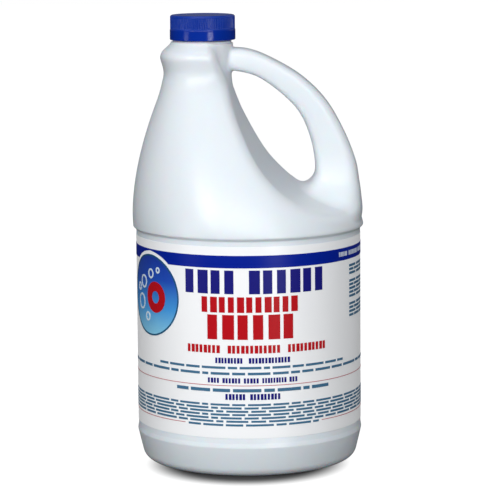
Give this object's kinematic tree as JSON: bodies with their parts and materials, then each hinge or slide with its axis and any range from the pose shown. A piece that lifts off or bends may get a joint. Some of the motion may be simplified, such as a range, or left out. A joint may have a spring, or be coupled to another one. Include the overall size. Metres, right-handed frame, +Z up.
{
  "type": "bleach_bottle",
  "caption": "White one-gallon bleach jug with a moulded handle, blue ribbed screw cap, liner and wrap label with a blue band and plain colour bars; the cap unscrews.",
  "frame": {"origin": "centre of the round body on the floor, so the centre of the part's box at its bottom to within half a millimetre", "axes": "+Z up, +X from the body axis towards the handle, -Y the front with the printed panel; the neck axis is parallel to Z at x = -29.8 mm"},
  "size_m": [0.1572, 0.157, 0.3036],
  "materials": {
    "white_hdpe": "blown polyethylene, soft sheen",
    "blue_pp": "moulded polypropylene, semi-gloss",
    "foam": "foamed polyethylene disc",
    "label_film": "printed film, satin",
    "blue_ink": "print",
    "red_ink": "print",
    "navy_ink": "print",
    "teal_ink": "print"
  },
  "bodies": {
    "jug_body": {"bottle": "white_hdpe", "label": "label_film", "ink_blue": "blue_ink", "ink_red": "red_ink", "ink_navy": "navy_ink", "ink_teal": "teal_ink"},
    "liner_body": {"cap_liner": "foam"},
    "cap_body": {"cap": "blue_pp"}
  },
  "joints": [
    {"name": "cap_rise", "type": "slide", "parent": "jug_body", "child": "liner_body", "axis": [0, 0, 1], "range_m": [0, 0.00635]},
    {"name": "cap_turn", "type": "hinge", "parent": "liner_body", "child": "cap_body", "pos_m": [-0.0298, 0, 0.295], "axis": [0, 0, 1], "range_deg": [0, 540]}
  ],
  "couplings": [
    {"joint": "cap_rise", "follows": "cap_turn", "m_per_rad": 0.00067376}
  ]
}
